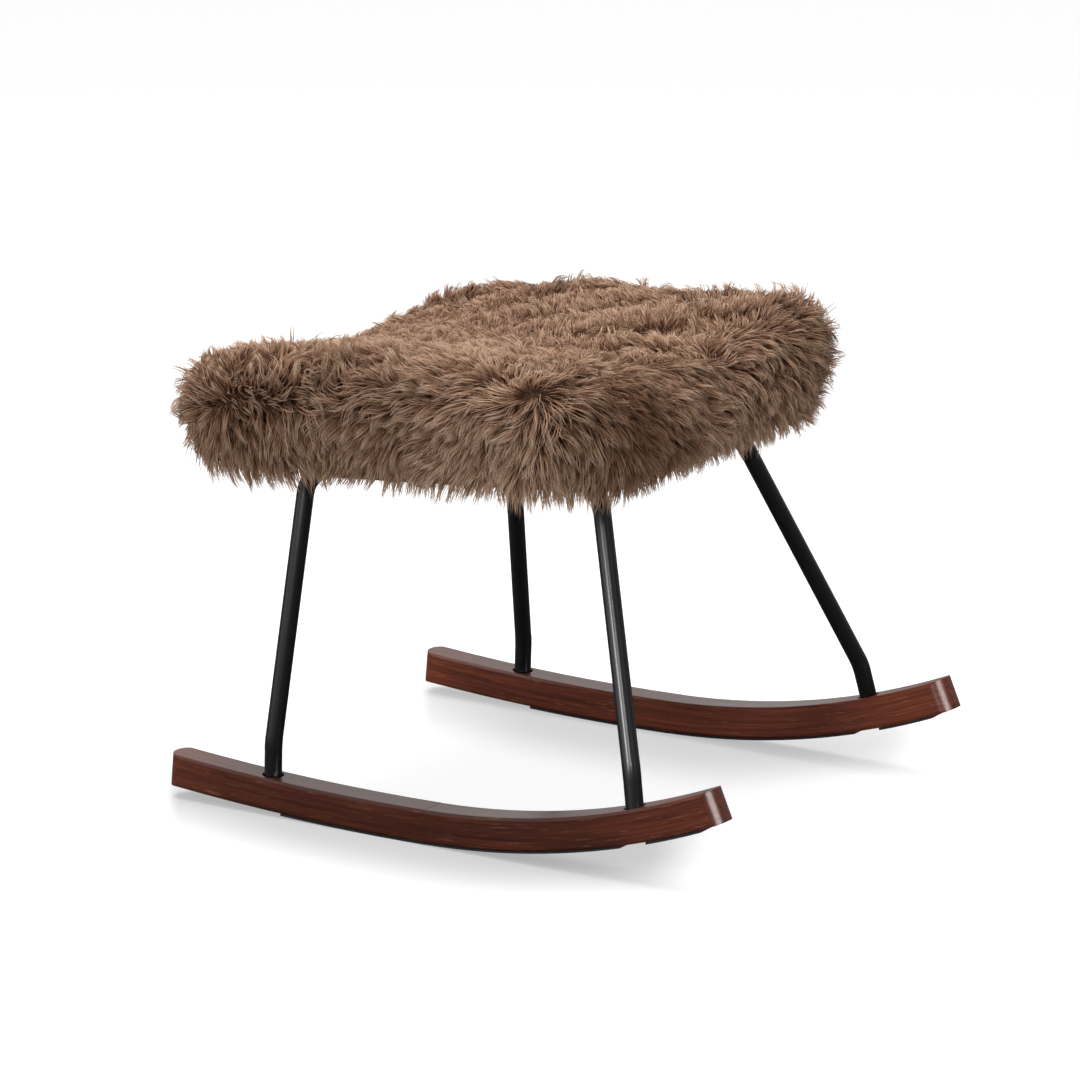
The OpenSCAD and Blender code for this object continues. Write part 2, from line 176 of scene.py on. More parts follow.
def applyModifier(piece, kind, **settings):
    selectOnly(piece)
    modifier = piece.modifiers.new(kind.lower(), kind)
    for key, value in settings.items():
        setattr(modifier, key, value)
    bpy.ops.object.modifier_apply(modifier=modifier.name)


def addPiece(name, mesh):
    piece = bpy.data.objects.new(name, mesh)
    bpy.context.scene.collection.objects.link(piece)
    return piece


def copyNode(node, name, merge=0.00002):
    # a piece of its own from a CAD node, with the loose triangles merged
    piece = addPiece(name, nodes[node].data.copy())
    piece.data.name = name
    piece.data.materials.clear()
    selectOnly(piece)
    bpy.ops.object.mode_set(mode="EDIT")
    bpy.ops.mesh.select_all(action="SELECT")
    bpy.ops.mesh.remove_doubles(threshold=merge)
    bpy.ops.mesh.customdata_custom_splitnormals_clear()
    bpy.ops.object.mode_set(mode="OBJECT")
    return piece


def softCopy(node, name):
    # the same, with its faces divided twice and smooth
    piece = copyNode(node, name)
    applyModifier(piece, "SUBSURF", levels=2, render_levels=2)
    bpy.ops.object.shade_smooth()
    return piece


def dress(names, material):
    for name in names:
        for slot in nodes[name].material_slots:
            slot.material = material


def finishPiece(piece, material, replaced=()):
    piece.data.materials.clear()
    piece.data.materials.append(material)
    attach(piece, "root")
    if replaced:
        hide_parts(*replaced)


# stained ash with a satin lacquer, its grain bent with the rocker, and painted light on its two ends
rockerLine = {
    # centre and radius of the underside's two arcs, in metres, and where they meet along X
    "heelArc": ((-0.06468, 0.0, 2.642), 2.64),
    "toeArc": ((-0.02614, 0.0, 0.8024), 0.8),
    "blend": -0.0094,
    "nearFaces": (-0.226, 0.195),  # Y of the sides that face the camera
    "ends": (-0.29, 0.29),
}
woodLook = {
    "dark": srgb(65, 28, 17),
    "mid": srgb(84, 38, 21),
    "light": srgb(102, 49, 28),
    "fleck": srgb(140, 90, 68),
    "fleckShare": 0.5,
    # stretch, scale and detail of each noise
    "noises": {
        "grain": ((2.0, 60.0, 90.0), 4.0, 5.0),
        "broad": ((1.0, 3.0, 4.0), 9.0, 2.0),
        "fleck": ((11.0, 120.0, 210.0), 3.2, 3.0),
        "pore": ((14.0, 520.0, 520.0), 2.6, 2.0),
    },
    # where on its noise each colour stands
    "figure": (0.32, 0.52, 0.7),
    "fleckRange": (0.6, 0.72),
    "cloud": [(0.3, (0.84, 0.8, 0.8)), (0.7, (1.14, 1.08, 1.06))],
    "pores": [(0.38, (0.8, 0.78, 0.78)), (0.5, (1.0, 1.0, 1.0))],
    "bump": 0.2,
    "bumpDepth": 0.00015,
    "softEdge": 0.003,
    "roughness": 0.42,
    "specular": 0.12,
    "lacquer": 0.6,
    "lacquerRoughness": 0.27,
    # painted light, paler towards the two ends: place along the rocker from heel to toe, and brightness
    "ends": [(0.0, 1.45), (0.03, 1.0), (0.86, 1.0), (0.955, 1.5)],
    "paintedEndLightTint": (1.0, 0.98, 0.96),
}


def alongRocker(tree):
    # a place on a rocker, unrolled: along it, across it, and its height over the underside
    place = addNode(tree, "ShaderNodeTexCoord").outputs["Object"]
    flat = addNode(tree, "ShaderNodeVectorMath", {0: place, 1: (1, 0, 1)}, operation="MULTIPLY").outputs[0]
    heights = []
    for centre, radius in (rockerLine["heelArc"], rockerLine["toeArc"]):
        apart = addNode(tree, "ShaderNodeVectorMath", {0: flat, 1: centre}, operation="DISTANCE")
        heights.append(addMath(tree, "SUBTRACT", radius, apart.outputs["Value"]))
    split = splitAxes(tree, place)
    past = addMath(tree, "GREATER_THAN", split["X"], rockerLine["blend"])
    height = mixNumbers(tree, past, *heights)
    both = addNode(tree, "ShaderNodeCombineXYZ", {"X": split["X"], "Y": split["Y"], "Z": height})
    return both.outputs[0], mapRange(tree, split["X"], *rockerLine["ends"])


def makeWood():
    material, tree, shader = newMaterial("stained wood", woodLook["roughness"], woodLook["specular"])
    place, along = alongRocker(tree)
    noises = {}
    for name, (stretch, scale, detail) in woodLook["noises"].items():
        noises[name] = addNoise(tree, stretched(tree, place, stretch), scale, detail)
    figure = zip(woodLook["figure"], (woodLook["dark"], woodLook["mid"], woodLook["light"]))
    colour = addRamp(tree, noises["grain"], figure)
    colour = mixColours(tree, 1.0, colour, addRamp(tree, noises["broad"], woodLook["cloud"]), "MULTIPLY")
    share = mapRange(tree, noises["fleck"], *woodLook["fleckRange"], 0.0, woodLook["fleckShare"])
    colour = mixColours(tree, share, colour, woodLook["fleck"])
    colour = mixColours(tree, 1.0, colour, addRamp(tree, noises["pore"], woodLook["pores"]), "MULTIPLY")
    # painted light: brighter towards the heel and the toe
    ends = [(spot, tuple(level * tint for tint in woodLook["paintedEndLightTint"])) for spot, level in woodLook["ends"]]
    colourFrom(tree, shader, mixColours(tree, 1.0, colour, addRamp(tree, along, ends), "MULTIPLY"))
    addBump(tree, shader, noises["pore"], woodLook["bump"], woodLook["bumpDepth"], woodLook["softEdge"])
    shader.inputs["Coat Weight"].default_value = woodLook["lacquer"]
    shader.inputs["Coat Roughness"].default_value = woodLook["lacquerRoughness"]
    return material


# black powder coat on the tubes and the cross bars
coatLook = {
    "colour": (0.006, 0.006, 0.0072),
    "edge": (0.009, 0.0092, 0.011),
    "roughness": 0.3,
    "specular": 0.5,
    "grain": 2600.0,
    "grainDetail": 2.0,
    "figure": (0.35, 0.7),
    "bump": 0.12,
    "bumpDepth": 0.00008,
}


def makePowderCoat():
    material, tree, shader = newMaterial("black powder coat", coatLook["roughness"], coatLook["specular"])
    speck = addNoise(tree, objectCoordinates(tree), coatLook["grain"], coatLook["grainDetail"])
    figure = zip(coatLook["figure"], (coatLook["colour"], coatLook["edge"]))
    colourFrom(tree, shader, addRamp(tree, speck, figure))
    addBump(tree, shader, speck, coatLook["bump"], coatLook["bumpDepth"])
    return material


# zinc plated bolts, washers, plugs and tee nuts
zincLook = {
    "dark": (0.42, 0.42, 0.43),
    "light": (0.66, 0.65, 0.63),
    "roughness": 0.38,
    "cloud": 420.0,
    "cloudDetail": 3.0,
    "figure": (0.3, 0.7),
}


def makeZinc():
    material, tree, shader = newMaterial("zinc plate", zincLook["roughness"])
    shader.inputs["Metallic"].default_value = 1.0
    cloud = addNoise(tree, objectCoordinates(tree), zincLook["cloud"], zincLook["cloudDetail"])
    figure = zip(zincLook["figure"], (zincLook["dark"], zincLook["light"]))
    colourFrom(tree, shader, addRamp(tree, cloud, figure))
    return material


# pressed felt, black rubber, dust cloth, plywood and foam, each of two tones in a fine fleck
fleckedLook = {
    "specular": 0.25,
    "detail": 5.0,
    "noiseRoughness": 0.65,
    "figure": (0.35, 0.65),
    "bump": 0.5,
    # dark and light tone, roughness, scale of the fleck, depth of the bump, stretch
    "felt": ((0.018, 0.019, 0.022), (0.05, 0.053, 0.062), 0.95, 1800.0, 0.0006),
    "rubber": ((0.018, 0.018, 0.018), (0.03, 0.03, 0.03), 0.7, 900.0, 0.0001),
    "spun cloth": ((0.010, 0.010, 0.011), (0.028, 0.028, 0.03), 0.9, 1500.0, 0.0003),
    "plywood": ((0.36, 0.23, 0.12), (0.56, 0.4, 0.24), 0.6, 60.0, 0.0002, (1, 1, 12)),
    "foam": ((0.6, 0.53, 0.34), (0.78, 0.71, 0.5), 0.95, 1300.0, 0.0006),
}


def makeFlecked(name, dark, light, roughness, scale, depth, stretch=(1, 1, 1)):
    material, tree, shader = newMaterial(name, roughness, fleckedLook["specular"])
    place = objectCoordinates(tree, stretch)
    fleck = addNoise(tree, place, scale, fleckedLook["detail"], fleckedLook["noiseRoughness"])
    colourFrom(tree, shader, addRamp(tree, fleck, zip(fleckedLook["figure"], (dark, light))))
    addBump(tree, shader, fleck, fleckedLook["bump"], depth)
    return material


wood = makeWood()
powderCoat = makePowderCoat()
zinc = makeZinc()
felt, rubber, cloth, plywood, foam = (
    makeFlecked(name, *fleckedLook[name]) for name in ("felt", "rubber", "spun cloth", "plywood", "foam")
)
dress(["rocker_right", "rocker_left"], wood)
dress(["leg_frame_right", "leg_frame_left", "cross_bar_front", "cross_bar_back"], powderCoat)
dress(["leg_plugs", "rocker_bolts", "rocker_washers", "seat_bolts", "seat_washers", "tee_nuts"], zinc)
dress(["floor_felt_right", "floor_felt_left"], felt)
dress(["seat_spacers"], rubber)
dress(["seat_board"], plywood)
print("materials made")


# fur: a skin over the pad, a short dense under-fur on it, and long pile in wisps that lie along a combed
# flow, whose tone carries painted light and shade
furLook = {
    "seed": 11,
    "layers": {
        "underfur": {
            "strands": 82000,
            "perWisp": 4,
            "length": (0.015, 0.022),
            "lift": (46.0, 20.0),  # degrees off the skin, part by part
            "parts": (0.45, 0.55),  # shares of the length
            "width": (0.00044, 0.00040),
            "sag": (0.0, 0.12),
            "gather": (0.0, 0.2, 0.45),
            "tone": 0.44,
            "reach": 0.76,  # how far up the colours of a full hair it goes
        },
        "pile": {
            "strands": 66000,
            "perWisp": 5,
            "length": (0.024, 0.034),
            "lift": (44.0, 20.0, 4.0),
            "parts": (0.36, 0.34, 0.30),
            "width": (0.00040, 0.00042, 0.00030),
            "sag": (0.0, 0.1, 0.22),
            "gather": (0.0, 0.18, 0.44, 0.64),
            "tone": 0.62,
            "reach": 1.0,
        },
    },
    "roughness": 0.62,
    "specular": 0.3,
    "toneStops": (0.0, 0.3, 0.62, 1.0),
    "backing": (0.95, 700.0, 0.001),  # of the skin: roughness, scale of its fleck, depth of its bump
    "sink": 0.0012,
    "lengthSpread": (0.32, 0.24),  # of a wisp and of a hair, as shares of the range
    "lengthLimit": 1.2,
    "lengthMarks": (-0.6, 0.5),  # the most that the marks below take off or add
    "liftSpread": 6.5,
    "strandLift": 4.0,
    "follow": 0.12,  # of its own root, for a hair that leans on its leader
    "partingLift": 14.0,
    "partingTurn": 36.0,
    "curl": 36.0,  # degrees
    "waver": 18.0,
    "waverSizes": ((1.0, 0.02), (0.7, 0.008)),  # share and size of each sway
    "curlSize": 0.015,
    "wispCurl": 0.5,
    "wispSpread": 11.0,
    "strandSpread": 8.0,
    "strokeReach": 0.015,
    "strokeFloor": 0.02,
    "strokeSameSide": 2,  # how sharply a stroke fades on skin that faces another way
    "topWay": (-0.5, 0.86, 0.0),
    "topWayLevel": (0.35, 0.4),  # from what upward tilt the fur lies back, and over what range
    "topLevel": (0.6, 0.3),  # the same, for length, lift and the painted light on the top
    "topPanelLevel": 0.62,
    "tones": 128,
    "mostTone": 0.999,
    "wispTone": 0.145,
    "strandTone": 0.15,
    "patchTone": 0.1,
    "patchSize": 0.03,
    # painted shade in the hollows between the rows of pile, painted light on their ridges
    "rowPaintedShading": 0.11,
    "rowLift": 9.0,
    "rootTone": srgb(84, 51, 35),
    "coolTones": [srgb(99, 63, 42), srgb(134, 94, 67), srgb(178, 142, 114)],
    "warmTones": [srgb(148, 109, 83), srgb(200, 162, 133), srgb(240, 213, 187)],
    "underTones": [srgb(66, 43, 32), srgb(98, 69, 53)],
    # where in the photograph the locks curl over, and where the pile carries painted shade (less tone) or
    # painted light (more tone): pixel, reach, amount
    "curls": [
        ((250, 425), 0.025, -35.0),
        ((400, 425), 0.018, -35.0),
        ((760, 365), 0.028, -70.0),
        ((700, 405), 0.020, 50.0),
    ],
    "paintedLightAndShade": [
        ((625, 402), 0.036, -0.76),
        ((660, 440), 0.040, -0.20),
        ((235, 425), 0.045, -0.16),
        ((330, 440), 0.030, -0.10),
        ((480, 355), 0.050, 0.22),
        ((520, 430), 0.030, 0.50),
        ((470, 430), 0.030, 0.30),
        ((527, 397), 0.016, 0.55),
        ((540, 470), 0.020, 0.20),
        ((300, 365), 0.035, 0.12),
        ((620, 335), 0.050, 0.08),
        ((470, 302), 0.035, -0.42),
        ((535, 300), 0.030, -0.38),
        ((430, 314), 0.025, -0.24),
    ],
    # where the pile is shorter
    "lengths": [
        ((225, 355), 0.030, -0.30),
        ((250, 352), 0.030, -0.20),
        ((375, 340), 0.030, -0.34),
        ((440, 312), 0.040, -0.36),
        ((475, 303), 0.030, -0.20),
        ((525, 300), 0.030, -0.15),
    ],
    "topLength": 0.84,
    "topLift": -9.0,
    # painted light: the pile's tone raised on the top
    "topPaintedLight": 0.20,
    # pile that stands above this height is brushed down, by this share
    "brushHeight": 0.450,
    "brushShare": 0.5,
    "hemLine": (0.331, -0.0627, 2.0),  # height at this place along X, and rise to the toe in degrees
    "hemLength": 1.05,
    "hemShare": 0.9,  # more strands there
    "hemHeight": 0.022,  # over the hem, where the pile hangs down
    "hemSag": 0.75,
    "hemCurl": 0.7,  # less curl there
    "hemGather": 0.25,  # looser wisps there
    "clear": 0.002,  # off the skin, where the test for its outer side starts
    "clearReach": 1.0,
    "bareBelow": -0.9,  # downward tilt of the hem that is left bare
    # where the fill pushes the cover out or lets it sink: place, reach and push
    "fill": [
        ((0.150, 0.200, 0.430), 0.050, (0.019, 0.011, 0.020)),
        ((0.210, 0.230, 0.335), 0.030, (-0.008, -0.008, 0.030)),
        ((0.212, 0.120, 0.335), 0.027, (0.0, 0.0, 0.018)),
        ((0.212, 0.030, 0.335), 0.027, (0.0, 0.0, 0.018)),
        ((0.205, -0.225, 0.330), 0.030, (-0.003, 0.0, 0.014)),
        ((-0.200, -0.210, 0.325), 0.030, (0.0, 0.0, -0.005)),
        ((-0.270, -0.200, 0.395), 0.035, (-0.009, -0.004, 0.003)),
        ((-0.270, -0.200, 0.350), 0.025, (-0.006, -0.002, 0.0)),
        ((-0.229, 0.205, 0.420), 0.050, (0.0, 0.0, -0.009)),
    ],
    # rows of pile across the top
    "rowSpacing": 0.062,
    "rowHeight": 0.0028,
    "rowWander": 0.9,
    "rowWanderSize": 0.07,
    "rowLevel": (0.75, 0.2),  # from what upward tilt, and over what range
    "rowStrength": (0.65, 0.5, 0.06),  # mean, spread and size of its changes
    "rowSkew": 0.7,
    # the map of a hair: shares of its column's width, and of the height from root to tip
    "columnMargin": 0.1,
    "mapMargin": 0.01,
    "rootCap": 0.02,
}
# how the fur lies in the photograph: strokes of a comb from root to tip, in its pixels
combStrokes = [
    # above the parting of the near side
    (205, 392, 192, 372), (222, 385, 214, 362), (250, 383, 250, 358), (280, 385, 287, 360),
    (310, 385, 318, 360), (340, 388, 342, 362), (365, 385, 360, 355), (395, 380, 383, 350),
    (425, 378, 405, 350), (450, 382, 425, 362), (470, 385, 440, 372), (500, 388, 472, 374),
    # below it
    (205, 405, 195, 412), (215, 420, 228, 445), (240, 415, 262, 440), (265, 415, 285, 440),
    (285, 430, 298, 458), (240, 445, 252, 468), (262, 455, 270, 480), (300, 405, 312, 430),
    (310, 450, 314, 478), (335, 420, 330, 448), (340, 460, 336, 486), (365, 410, 352, 440),
    (375, 445, 362, 475), (395, 420, 378, 450), (400, 460, 390, 490), (420, 400, 398, 412),
    (430, 430, 408, 455), (440, 460, 428, 492), (470, 400, 440, 402), (480, 415, 450, 425),
    (490, 435, 462, 458), (500, 455, 482, 485), (470, 470, 460, 495),
    # the whorl at the near corner
    (515, 396, 490, 396), (520, 405, 500, 425), (522, 415, 510, 445), (520, 450, 512, 480),
    (530, 420, 528, 450), (532, 455, 530, 490), (540, 410, 556, 435), (545, 440, 556, 470),
    (555, 470, 562, 498), (545, 402, 570, 410), (550, 392, 580, 388), (545, 385, 565, 372),
    (535, 384, 548, 362), (525, 384, 520, 362), (515, 386, 500, 374),
    # the toe end
    (570, 375, 600, 388), (600, 385, 630, 402), (585, 400, 605, 420), (620, 400, 645, 418),
    (640, 385, 668, 400), (660, 410, 675, 432), (575, 430, 590, 460), (600, 440, 612, 470),
    (580, 470, 590, 492), (620, 450, 630, 478), (640, 440, 650, 468), (665, 445, 676, 470),
    (690, 400, 700, 425), (700, 440, 715, 462), (715, 420, 728, 448), (740, 430, 755, 445),
    (700, 380, 712, 398), (728, 362, 745, 350), (750, 352, 775, 356), (760, 375, 775, 390),
    (735, 385, 750, 402), (775, 400, 797, 406), (790, 375, 812, 385), (800, 350, 830, 352),
    (810, 365, 835, 372), (796, 392, 822, 390), (800, 330, 826, 320), (780, 320, 800, 302),
    (760, 315, 778, 298),
    # the top
    (740, 325, 748, 305), (720, 320, 722, 300), (700, 335, 706, 315), (680, 320, 680, 300),
    (650, 325, 642, 305), (620, 330, 612, 312), (590, 320, 582, 303), (640, 350, 625, 340),
    (680, 355, 668, 343), (600, 350, 585, 338), (560, 345, 550, 328), (530, 340, 522, 322),
    (500, 330, 494, 312), (470, 335, 462, 318), (440, 340, 430, 322), (480, 355, 462, 345),
    (520, 365, 505, 352), (450, 365, 430, 352), (420, 355, 405, 340), (400, 345, 385, 332),
    (560, 310, 558, 296), (610, 300, 608, 288), (500, 300, 498, 288), (450, 305, 446, 292),
]


def makeFurMaterials():
    material, tree, shader = newMaterial("fur pile", furLook["roughness"], furLook["specular"])
    # across the map the hair's tone, which holds its own colour and also painted light and shade; up it, from
    # root to tip
    split = splitAxes(tree, addNode(tree, "ShaderNodeUVMap", uv_map="OFBake").outputs["UV"])
    ramps = []
    for tones in (furLook["coolTones"], furLook["warmTones"]):
        stops = zip(furLook["toneStops"], [furLook["rootTone"], *tones])
        ramps.append(addRamp(tree, split["Y"], stops))
    colourFrom(tree, shader, mixColours(tree, split["X"], *ramps))
    under = makeFlecked("fur backing", *furLook["underTones"], *furLook["backing"])
    return material, under


def rowSwell(places, normals):
    # where a place stands on the rows of pile that cross the top, from -1 in a hollow to 1 on a ridge
    rng = np.random.default_rng(furLook["seed"])
    phase = places @ np.array(furLook["topWay"]) * 2 * math.pi / furLook["rowSpacing"]
    phase += furLook["rowWander"] * waves(rng, places, furLook["rowWanderSize"])
    mean, spread, size = furLook["rowStrength"]
    strength = facingUp(normals, furLook["rowLevel"]) * (mean + spread * waves(rng, places, size))
    return strength * np.sin(phase + furLook["rowSkew"] * np.sin(phase))


def facingUp(normals, level):
    # 1 where the skin faces up, 0 where it faces out or down
    start, reach = level
    return np.clip((normals[:, 2] - start) / reach, 0, 1)


def makeFurSkin(material):
    skin = softCopy("fur_cover", "fur_skin")
    places, normals, _ = meshArrays(skin)
    for place, reach, push in furLook["fill"]:
        near = np.exp(-((places - place) ** 2).sum(1) / (2 * reach**2))
        places += near[:, None] * np.array(push)
    places += normals * (furLook["rowHeight"] * rowSwell(places, normals))[:, None]
    skin.data.vertices.foreach_set("co", places.ravel())
    skin.data.update()
    finishPiece(skin, material, ["fur_cover"])
    return skin


def meshArrays(piece):
    mesh = piece.data
    mesh.calc_loop_triangles()
    places = np.empty(len(mesh.vertices) * 3)
    mesh.vertices.foreach_get("co", places)
    normals = np.empty(len(mesh.vertices) * 3)
    mesh.vertices.foreach_get("normal", normals)
    faces = np.empty(len(mesh.loop_triangles) * 3, np.int32)
    mesh.loop_triangles.foreach_get("vertices", faces)
    return places.reshape(-1, 3), normals.reshape(-1, 3), faces.reshape(-1, 3)


def unit(vectors):
    return vectors / np.maximum(np.linalg.norm(vectors, axis=-1, keepdims=True), 1e-12)


def ontoSkin(vectors, normals):
    return unit(vectors - (vectors * normals).sum(1)[:, None] * normals)


def turnAbout(vectors, axes, angles):
    # vectors at right angles to their axes, turned about them
    return vectors * np.cos(angles)[:, None] + np.cross(axes, vectors) * np.sin(angles)[:, None]


def waves(rng, places, size, count=24, spread=1.6):
    # a smooth random value at each place, from about -1 to 1, that changes over a given size
    ways = rng.normal(size=(count, 3)) / size
    phases = rng.uniform(0, 2 * math.pi, count)
    return np.sin(places @ ways.T + phases).sum(1) / math.sqrt(count / 2) / spread


def outerFaces(places, faces, tree):
    # from the outer side a ray straight out meets nothing; the flat hem under the board is left bare
    corners = places[faces]
    across = np.cross(corners[:, 1] - corners[:, 0], corners[:, 2] - corners[:, 0])
    area = np.linalg.norm(across, axis=1) / 2
    out = unit(across)
    middles = corners.mean(1)
    starts = middles + out * furLook["clear"]
    reach = furLook["clearReach"]
    free = [tree.ray_cast(Vector(m), Vector(n), reach)[0] is None for m, n in zip(starts, out)]
    return area * np.array(free) * (out[:, 2] > furLook["bareBelow"])


def combGuides(tree):
    eye = Vector(cameraSetup["place"])
    spots, ways, outs = [], [], []
    for x, y, tipX, tipY in combStrokes:
        spot, out, _, _ = tree.ray_cast(eye, pixelRay(x, y))
        if spot is None:
            print("stroke misses the pad:", x, y)
            continue
        look = pixelRay(tipX, tipY)
        reach = (spot - eye).dot(out) / look.dot(out)
        spots.append(spot)
        ways.append((eye + look * reach - spot).normalized())
        outs.append(out)
    return np.array(spots), np.array(ways), np.array(outs)


def combedFlow(roots, normals, guides):
    # the way the pile lies: along the photograph's strokes, else back over the top and down the sides
    spots, ways, outs = guides
    share = facingUp(normals, furLook["topWayLevel"])[:, None]
    flow = np.array([0, 0, -1.0]) * (1 - share) + np.array(furLook["topWay"]) * share
    flow = flow * furLook["strokeFloor"]
    total = np.full(len(roots), furLook["strokeFloor"])
    for spot, way, out in zip(spots, ways, outs):
        apart = ((roots - spot) ** 2).sum(1) / (2 * furLook["strokeReach"] ** 2)
        share = np.exp(-apart) * np.clip(normals @ out, 0, 1) ** furLook["strokeSameSide"]
        total += share
        flow += share[:, None] * way
    parting = 1 - np.linalg.norm(flow, axis=1) / total  # 0 where the strokes agree, 1 where they part
    return ontoSkin(flow, normals), parting.clip(0, 1)


def nearPixels(roots, tree, marks):
    # the amount that each root takes from places marked in the photograph
    eye = Vector(cameraSetup["place"])
    amount = np.zeros(len(roots))
    for (x, y), reach, value in marks:
        spot = tree.ray_cast(eye, pixelRay(x, y))[0]
        if spot is None:
            print("mark misses the pad:", x, y)
            continue
        amount += value * np.exp(-((roots - spot) ** 2).sum(1) / (2 * reach**2))
    return amount


def hanging(roots):
    # 1 at the hem, 0 from a little above it
    height, middle, rise = furLook["hemLine"]
    line = height + (roots[:, 0] - middle) * math.tan(math.radians(rise))
    return np.clip(1 - (roots[:, 2] - line) / furLook["hemHeight"], 0, 1)


def strandLines(layer, roots, normals, flow, length, lift, curl):
    # points along each strand: it rises from the skin, lies over along the flow, curls and sags
    points = [roots - normals * furLook["sink"]]
    down = np.array([0, 0, -1.0]) * (furLook["hemSag"] * hanging(roots))[:, None]
    for step, part in enumerate(layer["parts"]):
        angle = np.radians(layer["lift"][step] + lift)
        lie = turnAbout(flow, normals, np.radians(curl) * step / 2)
        way = normals * np.sin(angle)[:, None] + lie * np.cos(angle)[:, None]
        way = unit(way + np.array([0, 0, -layer["sag"][step]]) + down)
        points.append(points[-1] + way * (length * part)[:, None])
    return np.stack(points, 1)


def findCover(skin):
    places, normals, faces = meshArrays(skin)
    tree = BVHTree.FromPolygons(places.tolist(), faces.tolist())
    weight = outerFaces(places, faces, tree)
    weight = weight * (1 + furLook["hemShare"] * hanging(places[faces].mean(1)))
    return places, normals, faces, tree, weight / weight.sum(), combGuides(tree)


def growLayer(rng, layer, cover):
    places, vertexNormals, faces, tree, weight, guides = cover
    count = layer["strands"]
    picked = rng.choice(len(faces), count, p=weight)
    mix = rng.random((count, 2))
    mix = np.where(mix.sum(1, keepdims=True) > 1, 1 - mix, mix)
    mix = np.column_stack([1 - mix.sum(1), mix])[:, :, None]
    roots = (places[faces[picked]] * mix).sum(1)
    normals = unit((vertexNormals[faces[picked]] * mix).sum(1))
    flow, parting = combedFlow(roots, normals, guides)
    still = np.random.default_rng(furLook["seed"])  # the same sway in every layer
    for share, size in furLook["waverSizes"]:
        flow = turnAbout(flow, normals, np.radians(furLook["waver"] * share) * waves(still, roots, size))

    # wisps: every strand leans on its nearest leader
    wisps = count // layer["perWisp"]
    search = KDTree(wisps)
    for index, root in enumerate(roots[:wisps]):
        search.insert(root, index)
    search.balance()
    leader = np.array([search.find(root)[1] for root in roots])
    own = rng.normal(size=(count, 5))
    low, high = layer["length"]
    hem = hanging(roots)
    turn = furLook["wispSpread"] + furLook["partingTurn"] * parting
    flow = turnAbout(flow, normals, np.radians(turn) * own[leader, 0])
    shared, single = furLook["lengthSpread"]
    limit = furLook["lengthLimit"]
    spread = (shared * own[leader, 1] + single * own[:, 1]).clip(-limit, limit)
    length = (low + high) / 2 + (high - low) * spread
    length *= 1 + nearPixels(roots, tree, furLook["lengths"]).clip(*furLook["lengthMarks"])
    level = facingUp(normals, furLook["topLevel"])
    length *= 1 + (furLook["topLength"] - 1) * level + (furLook["hemLength"] - 1) * hem
    lift = furLook["liftSpread"] * own[leader, 2] + furLook["partingLift"] * parting
    lift += furLook["rowLift"] * rowSwell(roots, normals) + furLook["topLift"] * level
    curl = furLook["curl"] * (waves(still, roots, furLook["curlSize"]) + furLook["wispCurl"] * own[leader, 3])
    curl = (curl + nearPixels(roots, tree, furLook["curls"])) * (1 - furLook["hemCurl"] * hem)
    lines = strandLines(layer, roots, normals, flow, length, lift, curl)
    gather = np.array(layer["gather"])[None, :, None] * (1 - furLook["hemGather"] * hem)[:, None, None]
    led = lines[leader] + (lines[:, :1] - lines[leader][:, :1]) * furLook["follow"]
    spread = turnAbout(flow, normals, np.radians(furLook["strandSpread"]) * own[:, 4])
    lines = strandLines(layer, roots, normals, spread, length, lift + furLook["strandLift"] * own[:, 2], curl)
    lines = lines * (1 - gather) + led * gather
    lines[:, :, 2] -= furLook["brushShare"] * np.maximum(lines[:, :, 2] - furLook["brushHeight"], 0)
    tone = layer["tone"] + furLook["wispTone"] * own[leader, 3] + furLook["strandTone"] * own[:, 0]
    patches = furLook["patchTone"] * waves(still, roots, furLook["patchSize"])
    # random patches, with the rows' painted shade in the hollows and painted light on the ridges
    tone += patches + furLook["rowPaintedShading"] * rowSwell(roots, normals)
    # painted shade and painted light at the marked places, and painted light over the top
    tone += nearPixels(roots, tree, furLook["paintedLightAndShade"]) + furLook["topPaintedLight"] * level
    return roots, normals, lines, tone.clip(0, furLook["mostTone"])


